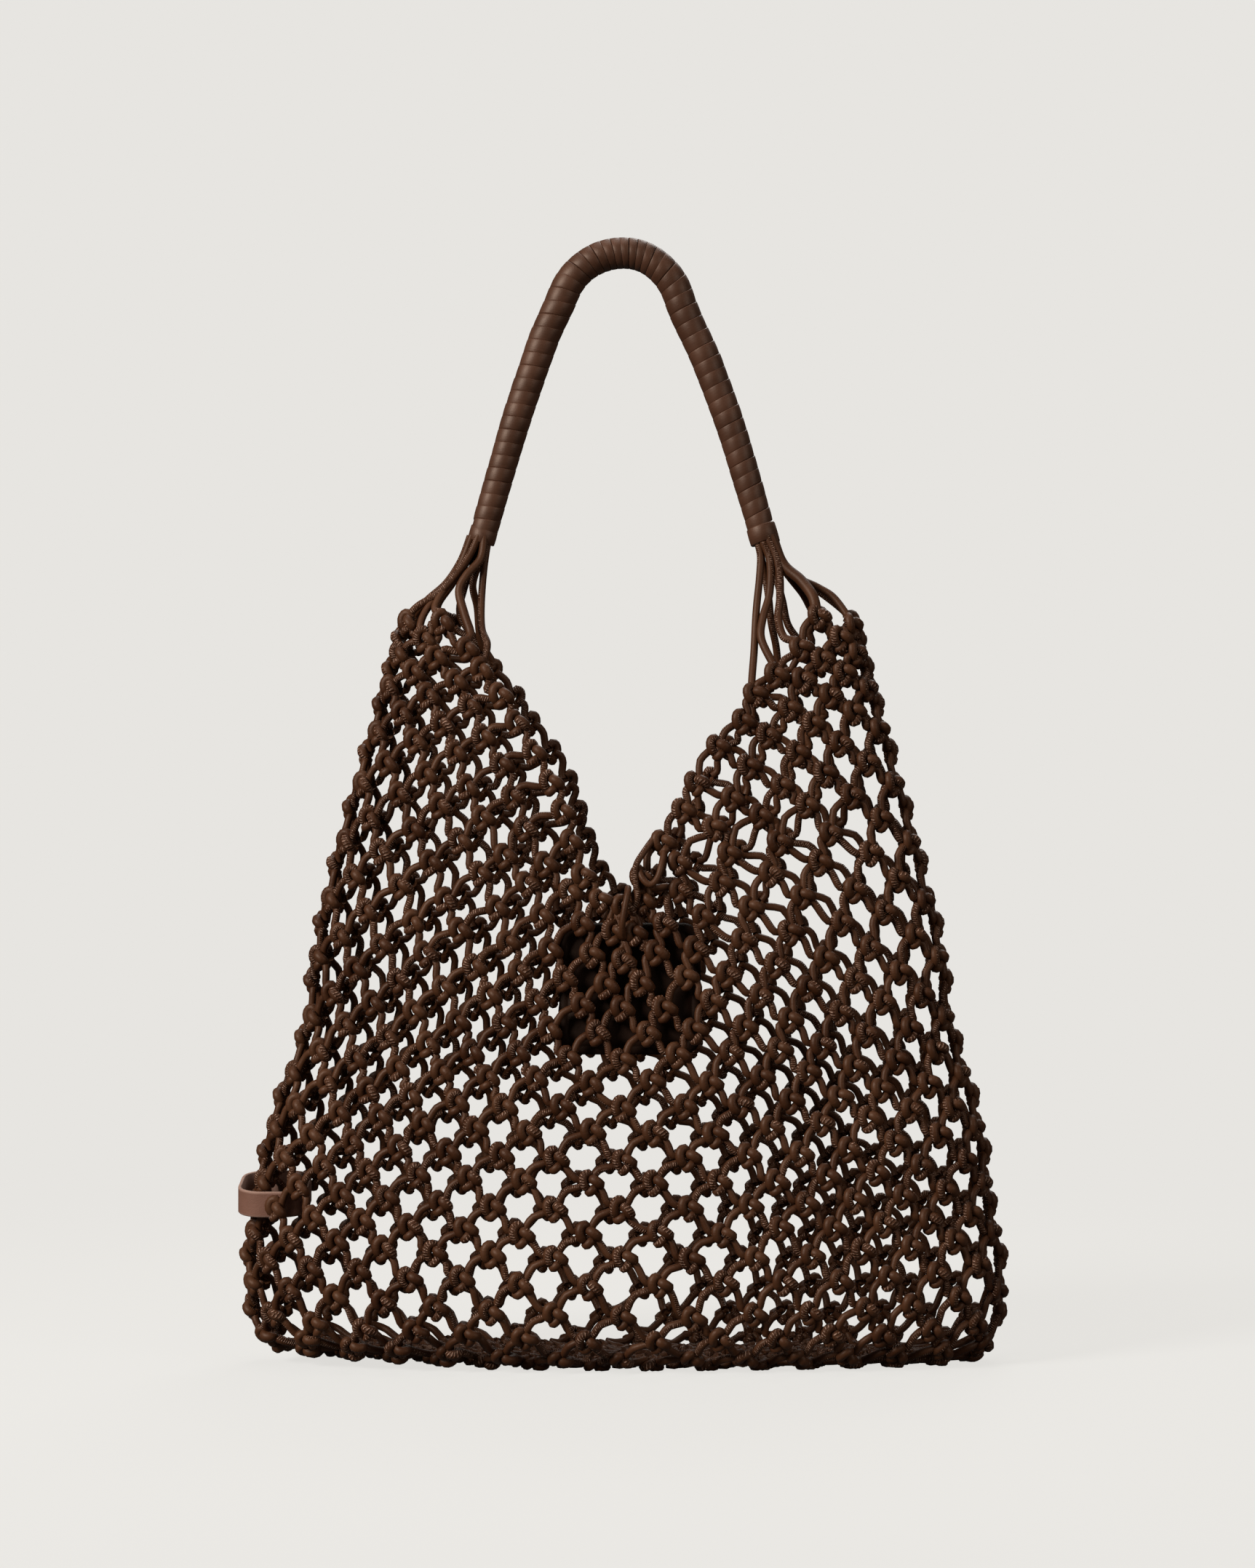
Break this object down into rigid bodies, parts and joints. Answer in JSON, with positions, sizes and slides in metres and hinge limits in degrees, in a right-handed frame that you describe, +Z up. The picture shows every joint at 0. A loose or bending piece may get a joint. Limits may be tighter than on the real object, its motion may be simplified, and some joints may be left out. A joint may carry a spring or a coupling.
{
  "type": "knotted leather net bag",
  "caption": "Shoulder bag of knotted leather cord netting with a V opening, a wrapped arched handle on two cord fans, a side strap loop and a small inner pouch.",
  "frame": {"origin": "middle of the base that the bag stands on", "axes": "+Z up to the handle, +X to the bag's right as seen from the front, the front panel faces -Y"},
  "size_m": [0.3528, 0.112, 0.5255],
  "materials": {
    "cord_leather": "satin",
    "strip_leather": "smooth satin",
    "strap_leather": "smooth satin",
    "pouch_leather": "smooth matt"
  },
  "bodies": {
    "root": {"net_front": "cord_leather", "net_back": "cord_leather", "handle_wrap": "strip_leather", "handle_end_left": "strip_leather", "handle_end_right": "strip_leather", "fan_cord_left_1": "cord_leather", "fan_cord_left_2": "cord_leather", "fan_cord_left_3": "cord_leather", "fan_cord_left_4": "cord_leather", "fan_cord_left_5": "cord_leather", "fan_cord_left_6": "cord_leather", "fan_cord_left_7": "cord_leather", "fan_cord_left_8": "cord_leather", "fan_cord_left_9": "cord_leather", "fan_cord_right_1": "cord_leather", "fan_cord_right_2": "cord_leather", "fan_cord_right_3": "cord_leather", "fan_cord_right_4": "cord_leather", "fan_cord_right_5": "cord_leather", "fan_cord_right_6": "cord_leather", "fan_cord_right_7": "cord_leather", "fan_cord_right_8": "cord_leather", "fan_cord_right_9": "cord_leather", "side_loop": "strap_leather", "pouch": "pouch_leather", "pouch_tie": "cord_leather"}
  },
  "joints": []
}
